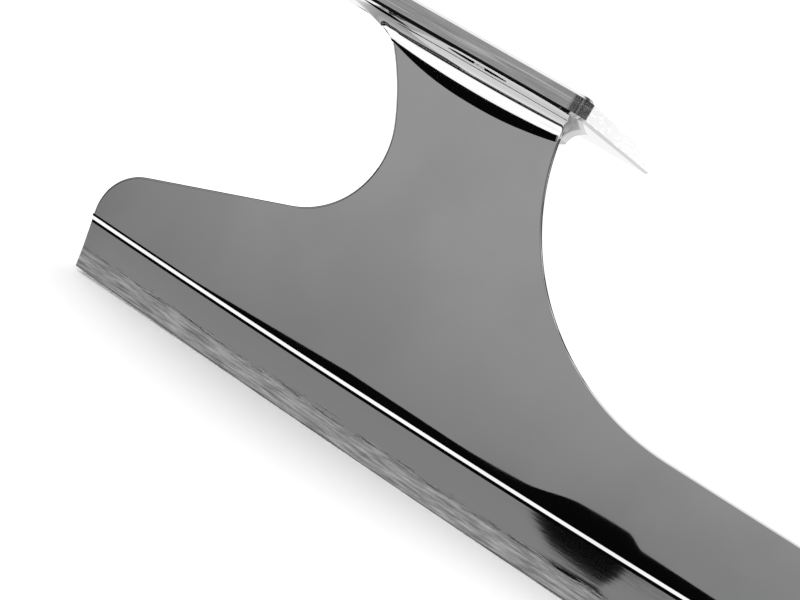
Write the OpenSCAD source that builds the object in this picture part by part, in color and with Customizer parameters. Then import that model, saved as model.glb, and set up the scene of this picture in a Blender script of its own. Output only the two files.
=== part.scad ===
// Ice dance skate blade: a ground runner brazed by its stanchions to a heel plate and a sole plate.
// The toe points to +X, the plates lie level and the lowest point of the edge is at Z = 0.
// Stations along the blade are measured from the back of the heel plate, heights from that lowest point.

/* [Size] */
// Blade size: back of the heel plate to front of the sole plate
blade_size = 228.6; // [203:0.1:280]
// Height of the heel plate's underside
heel_z = 47.5; // [42:0.1:54]
// Height of the sole plate's underside
sole_z = 42; // [36:0.1:46]

/* [Runner] */
// Thickness of the steel blank
blade_t = 4; // [3:0.1:5]
// Radius of the rocker, the long curve of the edge
rocker_r = 2134; // [1800:1:2500]
// Station of the rocker's lowest point
rocker_low_x = 51.5; // [40:0.5:100]
// Radius of the hollow ground along the edge
hollow_r = 12.7; // [9:0.1:20]
// Flat land left on each side of the hollow
edge_land = 0.15; // [0.1:0.05:0.4]

/* [Side hone] */
// Height of the hone's upper line at its lowest point
ledge_z = 7.2; // [6:0.1:9]
// Station of that lowest point, which lies behind the rocker's, so the honed band widens to the toe
ledge_low_x = 20; // [10:0.5:60]
// Height of the bevel that leads in from the blade's face
ledge_h = 0.5; // [0.4:0.1:1.2]
// Depth of the hone on each side
hone_depth = 0.3; // [0.2:0.05:0.6]
// Height above the edge where the honed side begins to flare out to the edge
flare_z = 2.4; // [1.8:0.1:3]
// Height above the edge where the flare meets the blade's face
flare_foot_z = 0.3; // [0.2:0.05:0.5]

/* [Tail] */
// Station of the centre of the tail's rounded top corner
tail_nose_x = 7.8; // [7:0.1:12]
// Height of that centre
tail_nose_z = 9.1; // [8:0.1:12]
// Radius of the rounded top corner
tail_nose_r = 6.4; // [4:0.1:7]
// Lean of the tail's end, with its foot forward
tail_lean = 11.7; // [0:0.1:20]

/* [Heel stanchion] */
// How far the heel plate reaches forward of the stanchion
heel_overhang = 6.9; // [6:0.1:12]
// Length of the stanchion's top along the plate
heel_top_l = 25.4; // [22:0.1:28]
// Distance from the front of the stanchion's top back to its waist
heel_waist_l = 17.3; // [15:0.1:19]
// Distance of the waist below the heel plate
waist_drop = 15.1; // [13:0.1:17]
// Radius of the rear edge at the waist
waist_low_r = 11.1; // [9:0.1:12]
// Share of the rear edge's turn above the waist that this radius takes, before a flatter curve goes on to the top
waist_share = 0.66; // [0.4:0.01:0.8]
// Height of the upright land between that curve and the heel plate
rear_land = 0.4; // [0.3:0.05:0.8]

/* [Arch] */
// Height of the web between heel and ball
arch_z = 20.1; // [17:0.1:22]
// Radius of the arch at the heel stanchion
arch_heel_r = 30.3; // [24:0.1:34]
// Radius of the arch at the ball stanchion
arch_ball_r = 20; // [14:0.1:22]

/* [Sole stanchions] */
// How far the sole plate reaches forward of the toe stanchion
toe_overhang = 5.6; // [4.5:0.1:10]
// Length of the toe stanchion's top
toe_top_l = 23; // [18:0.5:26]
// Length of the window between the two sole stanchions
window_l = 40; // [30:0.5:46]
// Length of the ball stanchion's top
ball_top_l = 18; // [14:0.5:24]
// Height of the window's sill
window_z = 22.5; // [20:0.1:26]
// Radius of the window's lower corners
window_r = 12; // [6:0.1:14]

/* [Toe picks] */
// Radius of the curve that carries the picks
toe_r = 22; // [18:0.1:24]
// Height of the centre of that curve
toe_z = 26; // [24:0.1:28]
// Setback of that centre from the front of the sole plate
toe_setback = 18.6; // [15:0.1:24]
// Height of the notch above the top pick
toe_notch_z = 27; // [25:0.1:30]
// Radius of that notch
toe_notch_r = 13; // [8:0.1:14]
// Number of picks
pick_n = 6; // [4:1:8]
// Angle from one pick to the next
pick_pitch = 9.8; // [7:0.1:12]
// Angle of the lowest pick below the horizontal
pick_first = 65; // [64:0.5:68]
// Thickness of the picks, a little under the blade's between its honed sides
pick_t = 3; // [2.4:0.1:3]
// Depth of a pick
pick_d = 2.2; // [1.5:0.1:3]

/* [Plates] */
// Thickness of both plates
plate_t = 2.4; // [2:0.1:3]
// Length of the heel plate
heel_plate_l = 56; // [52:0.1:64]
// Width of the heel plate, which is also the diameter of its round back
heel_plate_w = 52; // [48:0.1:56]
// Radius of the heel plate's front corners
heel_corner_r = 2.4; // [1.6:0.1:6]
// Length of the sole plate
sole_plate_l = 102; // [98:0.1:120]
// Width of the sole plate at the ball of the foot
sole_plate_w = 67; // [62:0.1:72]
// Distance of the ball of the foot from the front of the sole plate
ball_setback = 50.6; // [46:0.1:54]
// Width of the sole plate's front end, before its corners are rounded
sole_front_w = 40; // [36:0.1:46]
// Radius of the sole plate's front corners
sole_front_r = 14; // [8:0.1:16]
// Width of the sole plate's rear end, before its corners are rounded
sole_rear_w = 44; // [40:0.1:48]
// Radius of the sole plate's rear corners
sole_rear_r = 5; // [3:0.1:8]

/* [Tenons and brazing] */
// Length of each tenon
tenon_l = 10; // [8:0.5:14]
// Gap round a tenon in its mortise, filled when it is brazed
tenon_gap = 0.05; // [0.02:0.01:0.15]
// Radius of the brazed fillet
braze_r = 3.2; // [2:0.1:3.4]
// Thickness of the brazing metal where the fillet runs out
braze_edge = 0.1; // [0.05:0.01:0.2]

/* [Screw holes] */
// Diameter of the screw holes, and width of the slots
screw_d = 4.4; // [3.5:0.1:5]
// Diameter of the countersinks, which face down
sink_d = 7.6; // [6.5:0.1:8.5]
// End to end length of the slots
slot_l = 9; // [7:0.1:11]
// Station of the middle of the heel plate's holes
heel_holes_x = 28; // [26:0.1:30]
// Spacing of the heel screws along the blade
heel_screws_x = 26; // [22:0.1:28]
// Spacing of the heel screws across the blade
heel_screws_y = 34; // [30:0.1:36]
// Spacing of the heel slots across the blade
heel_slots_y = 30; // [27:0.1:32]
// Spacing of the ball screws along the blade
ball_screws_x = 30; // [26:0.1:32]
// Spacing of the ball screws across the blade
ball_screws_y = 46; // [42:0.1:48]
// Spacing of the end screws of the sole plate along the blade
end_screws_x = 76; // [74:0.1:78]
// Spacing of those screws across the blade
end_screws_y = 26; // [24:0.1:28]
// Setback of the middle of the end screws from the front of the sole plate
end_screws_setback = 52.6; // [52:0.1:54]
// Spacing of the sole slots along the blade
sole_slots_x = 48; // [46:0.1:50]
// Spacing of the sole slots across the blade
sole_slots_y = 30; // [28:0.1:32]

/* [Hidden] */

// Fragments of ordinary circles, and of the long curves of the runner
$fn = 96;
long_fn = 720;
// Turn of the ground sector behind the tail, and its whole sweep to past the toe
ground_back = 4;
ground_sweep = 14;
// Reach of a cut past the surface that it opens
over = 1;
// Reach of the hone's two sections from the ledge and from the edge, well past each other
hone_reach = sole_z / 2;
// How far a straight line lies inside the circle that it runs into, so that the two cross
bite = 0.02;

// Stations of the stanchions
heel_front_x = heel_plate_l - heel_overhang;
heel_rear_x = heel_front_x - heel_top_l;
waist_x = heel_front_x - heel_waist_l;
toe_front_x = blade_size - toe_overhang;
toe_rear_x = toe_front_x - toe_top_l;
ball_front_x = toe_rear_x - window_l;
ball_rear_x = ball_front_x - ball_top_l;
ball_x = blade_size - ball_setback;
arch_mid_x = (heel_front_x + ball_rear_x) / 2;

// Rear outline: nose of the tail, circle of the waist and the straight line that touches both
waist_z = heel_z - waist_drop;
nose = [tail_nose_x, tail_nose_z];
waist_low = [waist_x - waist_low_r, waist_z];
nose_to_waist = waist_low - nose;
tail_slope = atan2(nose_to_waist[1], nose_to_waist[0])
    - asin((tail_nose_r + waist_low_r) / norm(nose_to_waist));
tail_end = nose + polar(tail_nose_r - bite, 180 + tail_lean);
tail_foot = tail_end + (tail_end[1] + over) * [tan(tail_lean), -1];
tail_top = nose + polar(tail_nose_r - bite, 90 + tail_slope);
tail_root = waist_low + polar(waist_low_r - bite, tail_slope - 90);

// Upper curve of the rear edge: it leaves the waist's circle at its turn and ends at the rear of the stanchion's top
rear_end = [heel_rear_x, heel_z - rear_land];
waist_to_end = rear_end - waist_low;
waist_turn = waist_share
    * (atan2(waist_to_end[1], waist_to_end[0]) - acos(waist_low_r / norm(waist_to_end)));
turn_to_end = waist_to_end - polar(waist_low_r, waist_turn);
waist_high_r = -(turn_to_end * turn_to_end) / (2 * turn_to_end * polar(1, waist_turn));

// Toe picks: tips lie on one circle, and the foremost decides how far the blade reaches
toe_centre = [blade_size - toe_setback, toe_z];
pick_tip_r = toe_r + pick_d;
pick_tips_x = [for (i = [0 : pick_n - 1]) toe_centre[0] + pick_tip_r * cos(pick_angle(i))];
toe_reach = max(concat(pick_tips_x, [blade_size]));
mid_x = toe_reach / 2;

// Tenons sit in the middle of each stanchion's upright part
heel_tenon_x = heel_front_x - heel_waist_l / 2;
ball_tenon_x = (ball_rear_x + ball_front_x) / 2;
toe_tenon_x = (toe_rear_x + toe_front_x) / 2;

// Depth of the hollow, and the land left above a countersink's cone
hollow_half = blade_t / 2 - edge_land;
hollow_d = hollow_r - sqrt(hollow_r * hollow_r - hollow_half * hollow_half);
sink_h = (sink_d - screw_d) / 2;
// Height that every opening in the blank rises past
open_top = max(heel_z, sole_z) + arch_heel_r;

function polar(r, a) = r * [cos(a), sin(a)];
function pick_angle(i) = i * pick_pitch - pick_first;
// Radius of a side that starts parallel to X and comes in by the given drop at distance d
function side_radius(d, drop) = (d * d + drop * drop) / (2 * drop);

// Puts the model's origin under its middle
module centred() {
    translate([-mid_x, 0, 0]) children();
}

// Stands a drawing of stations and heights upright, as a plate of thickness t about the middle plane
module upright(t) {
    rotate([90, 0, 0]) linear_extrude(t, center = true) children();
}

// Turns a section about a far-off centre, as a grinding wheel follows a long curve
module ground(x, z) {
    translate([x, 0, z]) rotate([90, 0, 0]) rotate([0, 0, -90 - ground_back])
        rotate_extrude(angle = ground_sweep, $fn = long_fn) children();
}

// An opening in the blank with a level sill at z and a rounded corner at each end of it
module opening(x0, x1, z, r0, r1) {
    translate([x0 + r0, z]) square([x1 - x0 - r0 - r1, open_top - z]);
    translate([x0, z + r0]) square([r0, open_top - z - r0]);
    translate([x1 - r1, z + r1]) square([r1, open_top - z - r1]);
    translate([x0 + r0, z + r0]) circle(r0);
    translate([x1 - r1, z + r1]) circle(r1);
}

// The bay behind the heel stanchion, above the tail
module heel_bay() {
    translate(waist_low) circle(waist_low_r);
    translate(waist_low) rotate(waist_turn) translate([waist_low_r - waist_high_r, 0]) intersection() {
        circle(waist_high_r);
        translate([-waist_high_r, 0]) square(2 * waist_high_r);
    }
}

// Round front of the blade, forward of the centre of the picks' curve
module toe_round() {
    intersection() {
        translate(toe_centre) circle(toe_r);
        translate([toe_centre[0], -over]) square([toe_r, sole_z + over]);
    }
}

// Outline of the blank before the edge is ground
module blank() {
    difference() {
        union() {
            polygon([
                tail_foot, tail_end, nose, tail_top, tail_root, waist_low,
                [heel_rear_x, waist_z], [heel_rear_x, heel_z], [arch_mid_x, heel_z], [arch_mid_x, sole_z],
                [toe_centre[0], sole_z], [toe_centre[0], -over]
            ]);
            translate(nose) circle(tail_nose_r);
            toe_round();
        }
        heel_bay();
        opening(heel_front_x, ball_rear_x, arch_z, arch_heel_r, arch_ball_r);
        opening(ball_front_x, toe_rear_x, window_z, window_r, window_r);
        opening(toe_front_x, toe_front_x + 2 * toe_r, toe_notch_z, toe_notch_r, toe_notch_r);
    }
}

// Blank with its lower edge ground to the rocker
module rockered() {
    intersection() {
        blank();
        translate([rocker_low_x, rocker_r]) circle(rocker_r, $fn = long_fn);
    }
}

// One pick, with its working face radial and its back running down to the next
module pick(i) {
    root = toe_r - pick_d;
    translate(toe_centre) polygon([
        polar(root, pick_angle(i)), polar(pick_tip_r, pick_angle(i)),
        polar(toe_r, pick_angle(i + 1)), polar(root, pick_angle(i + 1))
    ]);
}

// Tenon that stands on a stanchion at station x, as high as the plate is thick
module tenon(x, z, gap = 0) {
    translate([x - tenon_l / 2 - gap, z - over]) square([tenon_l + 2 * gap, plate_t + over]);
}

// Section of the side hone at its top: a slanted ledge, then a face parallel to the blade's
module ledge_section() {
    face = blade_t / 2;
    polygon([
        [rocker_r - ledge_h, face + hone_depth], [rocker_r + ledge_h, face - hone_depth],
        [rocker_r + hone_reach, face - hone_depth], [rocker_r + hone_reach, face + hone_depth]
    ]);
}

// Section of the side hone at its foot: a flare out to the blade's face just above the edge
module flare_section() {
    face = blade_t / 2;
    run = flare_z - flare_foot_z;
    polygon([
        [rocker_r - hone_reach, face - 2 * hone_depth], [rocker_r - flare_z - run, face - 2 * hone_depth],
        [rocker_r - flare_foot_z + run, face + hone_depth], [rocker_r - hone_reach, face + hone_depth]
    ]);
}

// Metal that the hone takes off one side
module hone() {
    intersection() {
        ground(ledge_low_x, ledge_z + rocker_r) ledge_section();
        ground(rocker_low_x, rocker_r) flare_section();
    }
}

module blade() {
    color("silver") centred() union() {
        difference() {
            upright(blade_t) rockered();
            ground(rocker_low_x, rocker_r)
                translate([rocker_r + hollow_r - hollow_d, 0]) circle(hollow_r, $fn = long_fn);
            for (side = [0, 1]) mirror([0, side, 0]) hone();
        }
        upright(pick_t) for (i = [0 : pick_n - 1]) pick(i);
        upright(blade_t) {
            tenon(heel_tenon_x, heel_z);
            tenon(ball_tenon_x, sole_z);
            tenon(toe_tenon_x, sole_z);
        }
    }
}

// A drawing made as thick as a plate
module slab() {
    linear_extrude(plate_t) children();
}

// End of a plate: from full width w0 at the origin its sides curve in to width w1 at distance d along +X,
// where it is cut square, with corners of radius c
module plate_end(w0, w1, d, c) {
    side_r = side_radius(d, (w0 - w1) / 2);
    side_centre = [0, w0 / 2 - side_r];
    corner = [d - c, side_centre[1] + sqrt(pow(side_r - c, 2) - pow(d - c, 2))];
    turn = side_centre + side_r * (corner - side_centre) / norm(corner - side_centre);
    union() {
        slab() intersection() {
            translate(side_centre) circle(side_r, $fn = long_fn);
            translate(-side_centre) circle(side_r, $fn = long_fn);
            translate([0, -w0]) square([turn[0], 2 * w0]);
        }
        slab() polygon([[0, 0], turn, [d, corner[1]], [d, -corner[1]], [turn[0], -turn[1]]]);
        for (s = [-1, 1]) slab() translate([corner[0], s * corner[1]]) circle(c);
    }
}

// Plates before they are cut, with their undersides at Z = 0
module heel_blank() {
    back = heel_plate_w / 2;
    corner = [heel_plate_l - heel_corner_r, back - heel_corner_r];
    side = back - bite;
    front = heel_plate_l - bite;
    union() {
        slab() translate([back, 0]) circle(back);
        slab() polygon([
            [back, -side], [corner[0], -side], [front, -corner[1]],
            [front, corner[1]], [corner[0], side], [back, side]
        ]);
        for (s = [-1, 1]) slab() translate([corner[0], s * corner[1]]) circle(heel_corner_r);
    }
}

module sole_blank() {
    translate([ball_x, 0, 0]) union() {
        plate_end(sole_plate_w, sole_front_w, ball_setback, sole_front_r);
        rotate(180) plate_end(sole_plate_w, sole_rear_w, sole_plate_l - ball_setback, sole_rear_r);
    }
}

// Four countersunk screw holes at the corners of a rectangle, through a plate whose underside is at z
module screw_holes(x, z, dx, dy) {
    for (sx = [-1, 1], sy = [-1, 1]) translate([x + sx * dx / 2, sy * dy / 2, z]) {
        translate([0, 0, -over]) cylinder(d = screw_d, h = plate_t + 2 * over);
        translate([0, 0, -over])
            cylinder(d1 = sink_d + 2 * over, d2 = screw_d, h = sink_h + over);
    }
}

// Straight slot through a plate, along X or, turned by a right angle, along Y
module slot(x, y, z, turn) {
    translate([x, y, z - over]) rotate(turn) linear_extrude(plate_t + 2 * over) {
        square([slot_l - screw_d, screw_d], center = true);
        for (s = [-1, 1]) translate([s * (slot_l - screw_d) / 2, 0]) circle(d = screw_d);
    }
}

// Mortise that takes the tenon at station x
module mortise(x, z) {
    upright(blade_t + 2 * tenon_gap) {
        tenon(x, z, tenon_gap);
        tenon(x, z + over, tenon_gap);
    }
}

module heel_plate() {
    color("gainsboro") centred() difference() {
        translate([0, 0, heel_z]) heel_blank();
        mortise(heel_tenon_x, heel_z);
        screw_holes(heel_holes_x, heel_z, heel_screws_x, heel_screws_y);
        for (s = [-1, 1]) slot(heel_holes_x, s * heel_slots_y / 2, heel_z, 90);
    }
}

module sole_plate() {
    color("gainsboro") centred() difference() {
        translate([0, 0, sole_z]) sole_blank();
        mortise(ball_tenon_x, sole_z);
        mortise(toe_tenon_x, sole_z);
        screw_holes(ball_x, sole_z, ball_screws_x, ball_screws_y);
        screw_holes(blade_size - end_screws_setback, sole_z, end_screws_x, end_screws_y);
        for (sx = [-1, 1], sy = [-1, 1])
            slot(ball_x + sx * sole_slots_x / 2, sy * sole_slots_y / 2, sole_z, 0);
    }
}

// Section of a brazed fillet in the corner of two faces, below one and outside the other
module fillet_section() {
    reach = braze_r + braze_edge;
    difference() {
        translate([0, -reach]) square(reach);
        translate([reach, -reach]) circle(braze_r);
    }
}

// Fillet along one side of a stanchion's top, of the given length along +X
module fillet_run(length) {
    rotate([90, 0, 90]) linear_extrude(length) fillet_section();
}

// Fillet all round a stanchion's top, from station x0 to x1, under a plate at z
module fillet_ring(x0, x1, z) {
    half = blade_t / 2;
    translate([x0, half, z]) fillet_run(x1 - x0);
    translate([x1, -half, z]) rotate(180) fillet_run(x1 - x0);
    translate([x1, half, z]) rotate(-90) fillet_run(blade_t);
    translate([x0, -half, z]) rotate(90) fillet_run(blade_t);
    for (corner = [[x1, half, 0], [x0, half, 90], [x0, -half, 180], [x1, -half, 270]])
        translate([corner[0], corner[1], z]) rotate(corner[2])
            rotate_extrude(angle = 90) fillet_section();
}

// Fillet with the blank cut out of it, and cut flush with the rear edge of the heel stanchion
module braze(x0, x1, z) {
    color("lightgray") centred() difference() {
        fillet_ring(x0, x1, z);
        upright(blade_t) rockered();
        upright(blade_t + 4 * (braze_r + braze_edge)) heel_bay();
    }
}

module heel_braze() {
    braze(heel_rear_x, heel_front_x, heel_z);
}

module ball_braze() {
    braze(ball_rear_x, ball_front_x, sole_z);
}

module toe_braze() {
    braze(toe_rear_x, toe_front_x, sole_z);
}

blade();
heel_plate();
sole_plate();
heel_braze();
ball_braze();
toe_braze();
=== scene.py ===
"""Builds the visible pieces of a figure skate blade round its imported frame, and its stage."""

import functools
import math

import bmesh
import bpy
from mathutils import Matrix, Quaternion, Vector


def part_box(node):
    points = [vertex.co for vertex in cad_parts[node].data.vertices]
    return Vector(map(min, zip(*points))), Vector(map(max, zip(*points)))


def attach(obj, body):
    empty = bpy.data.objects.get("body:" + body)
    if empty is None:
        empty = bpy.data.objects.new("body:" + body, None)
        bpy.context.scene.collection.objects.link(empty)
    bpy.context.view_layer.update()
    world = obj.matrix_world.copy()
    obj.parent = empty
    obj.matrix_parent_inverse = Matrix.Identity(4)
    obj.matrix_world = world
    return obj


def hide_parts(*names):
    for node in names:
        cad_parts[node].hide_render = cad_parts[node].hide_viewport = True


bl_info = {
    "name": "Skate blade",
    "version": (1, 0, 0),
    "blender": (4, 5, 0),
    "location": "3D View > Sidebar > Skate blade",
    "description": "Builds a chromed figure skate blade with its plates, brazing and a pale stage",
    "category": "Object",
}

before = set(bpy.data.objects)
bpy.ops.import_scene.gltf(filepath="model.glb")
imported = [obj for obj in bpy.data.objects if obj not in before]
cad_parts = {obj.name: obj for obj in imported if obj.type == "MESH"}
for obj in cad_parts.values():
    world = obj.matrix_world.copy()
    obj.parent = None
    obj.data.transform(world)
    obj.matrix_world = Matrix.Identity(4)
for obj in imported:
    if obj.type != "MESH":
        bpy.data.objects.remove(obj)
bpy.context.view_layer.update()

MM = 0.001
WELD = 0.001 * MM
# Angle from which two faces meet in a crease, and angle up to which facets of a plate lie in one face
CREASE = math.radians(40)
ONE_FACE = math.radians(0.3)
# Upright part of a face's normal, from which the face counts as level
LEVEL = 0.5
# Height under a plate in which the blade's outline stays sharp, because a fillet covers it
COVERED = 1.0 * MM

# The frame's own places
heel_low, heel_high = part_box("heel_plate")
sole_low, sole_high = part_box("sole_plate")
blade_low, blade_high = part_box("blade")
heel_braze_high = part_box("heel_braze")[1]
ball_braze_low, ball_braze_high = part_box("ball_braze")
toe_braze_low, toe_braze_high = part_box("toe_braze")

BACK = heel_low.x
HALF = blade_high.y
HEEL_Z = heel_low.z
SOLE_Z = sole_low.z
PLATE_T = heel_high.z - heel_low.z
BRAZE_REACH = heel_braze_high.y - HALF

# Stations of the stanchions' tops, from the back of the heel plate
HEEL_FRONT = heel_braze_high.x - BRAZE_REACH - BACK
BALL_REAR = ball_braze_low.x + BRAZE_REACH - BACK
BALL_FRONT = ball_braze_high.x - BRAZE_REACH - BACK
TOE_REAR = toe_braze_low.x + BRAZE_REACH - BACK
TOE_FRONT = toe_braze_high.x - BRAZE_REACH - BACK
PLATE_FRONT = sole_high.x - BACK


def length(label, about, millimetres):
    """A length that a user can change, with its default in millimetres."""
    return bpy.props.FloatProperty(
        name=label, description=about, default=millimetres * MM, min=0.0, precision=5,
        subtype="DISTANCE", unit="LENGTH")


def angle(label, about, degrees):
    """An angle that a user can change, with its default in degrees."""
    return bpy.props.FloatProperty(
        name=label, description=about, default=math.radians(degrees), subtype="ANGLE", unit="ROTATION")


def share(label, about, value):
    """A share between none and all."""
    return bpy.props.FloatProperty(
        name=label, description=about, default=value, min=0.0, max=1.0, subtype="FACTOR")


def tone(label, about, red, green, blue):
    """A colour that a user can change."""
    return bpy.props.FloatVectorProperty(
        name=label, description=about, default=(red, green, blue), min=0.0, max=1.0, size=3, subtype="COLOR")


class RunnerSizes(bpy.types.PropertyGroup):
    """Edge, hollow and side hone of the runner."""

    rocker_r: length("Rocker radius", "Radius of the edge's long curve", 2134)
    rocker_low: length("Rocker low point", "Station where the edge touches level ice", 51.5)
    hollow_r: length("Hollow radius", "Radius of the hollow ground between the edges", 12.7)
    edge_land: length("Edge land", "Width left beside the hollow at each edge", 0.15)
    ledge_z: length("Ledge height", "Height of the ledge at its lowest point", 7.2)
    ledge_low: length("Ledge low point", "Station of the ledge's lowest point", 20)
    ledge_h: length("Ledge drop", "Height of the ledge's slanted face", 0.5)
    hone_depth: length("Hone depth", "How far the hone cuts into each side", 0.3)
    hone_rise: length("Hone rise", "How far the honed face comes out from ledge to flare", 0.066)
    flare_z: length("Flare height", "Height above the edge where the honed side flares out", 2.4)
    flare_foot: length("Flare foot", "Height above the edge where the flare meets the blade's face", 0.3)
    flare_r: length("Flare radius", "Radius where the honed face turns into the flare", 5)
    lip_r: length("Lip radius", "Radius that polishing leaves on the ledge's upper edge", 1.0)
    root_r: length("Root radius", "Radius in the corner below the ledge", 1.0)


class TailSizes(bpy.types.PropertyGroup):
    """Outline of the tail and the heel stanchion."""

    nose_x: length("Nose station", "Station of the centre of the tail's rounded corner", 7.8)
    nose_z: length("Nose height", "Height of that centre", 9.1)
    nose_r: length("Nose radius", "Radius of the tail's rounded corner", 6.4)
    lean: angle("Tail lean", "Lean of the tail's end, with its foot forward", 11.7)
    top_l: length("Stanchion top", "Length of the heel stanchion's top along its plate", 25.4)
    waist_l: length("Waist setback", "Distance from the front of the stanchion back to its waist", 17.3)
    waist_drop: length("Waist drop", "Distance of the waist below the heel plate", 15.1)
    waist_r: length("Waist radius", "Radius of the rear edge at its waist", 11.1)
    waist_share: share("Waist share", "Share of the turn above the waist that this radius takes", 0.66)
    rear_land: length("Rear land", "Height of the upright land between the rear edge and the heel plate", 0.4)


class WebSizes(bpy.types.PropertyGroup):
    """Openings above the web, and the tenons."""

    arch_z: length("Web height", "Height of the web between heel and ball", 20.1)
    arch_heel_r: length("Arch radius at the heel", "Radius of the arch at the heel stanchion", 30.3)
    arch_ball_r: length("Arch radius at the ball", "Radius of the arch at the ball stanchion", 20)
    window_z: length("Window sill", "Height of the sill between the sole stanchions", 22.5)
    window_r: length("Window radius", "Radius of the window's lower corners", 12)
    tenon_l: length("Tenon length", "Length of the tenons that stand in the plates", 10)


class ToeSizes(bpy.types.PropertyGroup):
    """Round toe and its picks."""

    curve_r: length("Toe radius", "Radius of the curve that carries the picks", 22)
    curve_z: length("Toe height", "Height of the centre of that curve", 26)
    setback: length("Toe setback", "Setback of that centre from the front of the sole plate", 18.6)
    notch_z: length("Notch height", "Height of the notch above the top pick", 27)
    notch_r: length("Notch radius", "Radius of that notch", 13)
    pick_count: bpy.props.IntProperty(name="Picks", description="Number of picks", default=6, min=3, max=9)
    pick_pitch: angle("Pick pitch", "Angle from one pick to the next", 9.8)
    pick_first: angle("Lowest pick", "Angle of the lowest pick below the horizontal", 65)
    pick_d: length("Pick depth", "Depth of a pick", 2.2)
    pick_t: length("Pick thickness", "Thickness of the picks", 3)


class FinishSizes(bpy.types.PropertyGroup):
    """Roundings and fillets that the finishing leaves."""

    edge_r: length("Blade edge rounding", "Rounding of the blade's outline", 0.32)
    rim_c: length("Plate rim chamfer", "Chamfer of a plate's outer rims", 0.32)
    braze_end: length("Fillet at the ends", "Radius of a brazed fillet at the ends of its stanchion", 3.4)
    braze_bow: length("Fillet bow", "How much larger that radius is where the fillet is fullest", 1.3)
    braze_start: angle("Fillet start", "Angle at which a fillet leaves the blade's face at its fullest", 6)
    braze_ends: angle("Fillet ends", "How much steeper it leaves the face at the stanchion's ends", 12)
    braze_stop: angle("Fillet stop", "Angle at which a fillet meets the plate's face", 22)
    braze_fit: length("Fillet fit", "Length over which the front of the heel's fillet follows the arch", 4)
    flare_l: length("Rear flare", "How far the heel's fillet runs out to the rear under its plate", 6)
    flare_h: length("Rear flare height", "Height of that run-out", 2.6)
    braze_lead: share(
        "Fillet lead", "How far forward of the middle a fillet is fullest, in half lengths", 0.15)


class Finishes(bpy.types.PropertyGroup):
    """Colours of the metal and of the stage."""

    chrome: tone("Chrome", "Reflected colour of the polished plating", 0.60, 0.60, 0.605)
    chrome_haze: tone("Chrome haze", "Reflected colour where the plating is slightly dull", 0.55, 0.55, 0.555)
    honed: tone("Honed steel", "Reflected colour of the runner's ground sides", 0.56, 0.56, 0.56)
    honed_dark: tone("Dark streaks", "Reflected colour of the darkest grinding streaks", 0.30, 0.30, 0.30)
    honed_bright: tone(
        "Bright streaks", "Reflected colour of the brightest grinding streaks", 0.84, 0.84, 0.835)
    brushed: tone("Brushed rim", "Reflected colour of the plates' brushed edges", 0.51, 0.51, 0.515)
    brushed_bright: tone(
        "Brush marks", "Reflected colour of the brightest marks on those edges", 0.78, 0.78, 0.78)
    scratch: tone("Scratches", "Reflected colour of the bright scratches on those edges", 0.97, 0.97, 0.97)
    floor: tone("Floor", "Colour of the pale floor", 0.86, 0.86, 0.86)


class StageSizes(bpy.types.PropertyGroup):
    """Floor and camera."""

    floor_r: length("Floor radius", "Radius of the round floor", 4000)
    camera_x: length("Camera station", "Station of the camera along the blade", 90.29)
    camera_y: length("Camera distance", "Distance of the camera to the side of the blade", 172.69)
    camera_z: length("Camera height", "Height of the camera above the edge", 41.99)
    aim_x: length("Aim station", "Station on the blade that the camera points at", 42.10)
    aim_z: length("Aim height", "Height on the blade that the camera points at", 19.08)
    roll: angle("Camera roll", "Turn of the camera about its own axis", 30.46)
    lens: bpy.props.FloatProperty(
        name="Lens", description="Focal length for a sensor 36 mm wide", default=67.1, unit="CAMERA")


class SkateBladeSettings(bpy.types.PropertyGroup):
    """All that a user can change."""

    runner: bpy.props.PointerProperty(type=RunnerSizes)
    tail: bpy.props.PointerProperty(type=TailSizes)
    web: bpy.props.PointerProperty(type=WebSizes)
    toe: bpy.props.PointerProperty(type=ToeSizes)
    finish: bpy.props.PointerProperty(type=FinishSizes)
    colours: bpy.props.PointerProperty(type=Finishes)
    stage: bpy.props.PointerProperty(type=StageSizes)


# Node trees


def put(tree, kind, inputs=None, **settings):
    """Adds a node, with its settings and its inputs, each a value or a socket to link."""
    made = tree.nodes.new(kind)
    for key, value in settings.items():
        setattr(made, key, value)
    for key, value in (inputs or {}).items():
        if isinstance(value, bpy.types.NodeSocket):
            tree.links.new(value, made.inputs[key])
        else:
            made.inputs[key].default_value = value
    return made


def math_node(tree, operation, *values):
    """The result of one sum."""
    return put(tree, "ShaderNodeMath", dict(enumerate(values)), operation=operation).outputs[0]


def vector_node(tree, operation, *values):
    """The vector that comes out of one sum of vectors."""
    return put(tree, "ShaderNodeVectorMath", dict(enumerate(values)), operation=operation).outputs[0]


def parts_of(tree, vector):
    """The outputs X, Y and Z of a vector."""
    return put(tree, "ShaderNodeSeparateXYZ", {0: vector}).outputs


def stretch(tree, value, low, high, interpolation="LINEAR"):
    """A value that runs from none to all as another goes from low to high, evenly unless told otherwise."""
    made = put(tree, "ShaderNodeMapRange", {"Value": value, "From Min": low, "From Max": high},
               interpolation_type=interpolation)
    return made.outputs["Result"]


def step_up(tree, value, low, high):
    """A soft step from none to all as a value goes from low to high."""
    return stretch(tree, value, low, high, "SMOOTHSTEP")


def spread(tree, value, low, high):
    """A value between none and all, spread from low to high."""
    return put(tree, "ShaderNodeMapRange", {"Value": value, "To Min": low, "To Max": high}).outputs["Result"]


def blend(tree, factor, first, second):
    """A colour between two others, each a socket or a plain colour of three numbers."""
    mix = put(tree, "ShaderNodeMix", {"Factor": factor}, data_type="RGBA")
    colours = [socket for socket in mix.inputs if socket.type == "RGBA"]
    for socket, colour in zip(colours, (first, second)):
        if isinstance(colour, bpy.types.NodeSocket):
            tree.links.new(colour, socket)
        else:
            socket.default_value = (*colour, 1.0)
    return next(socket for socket in mix.outputs if socket.type == "RGBA")


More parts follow.
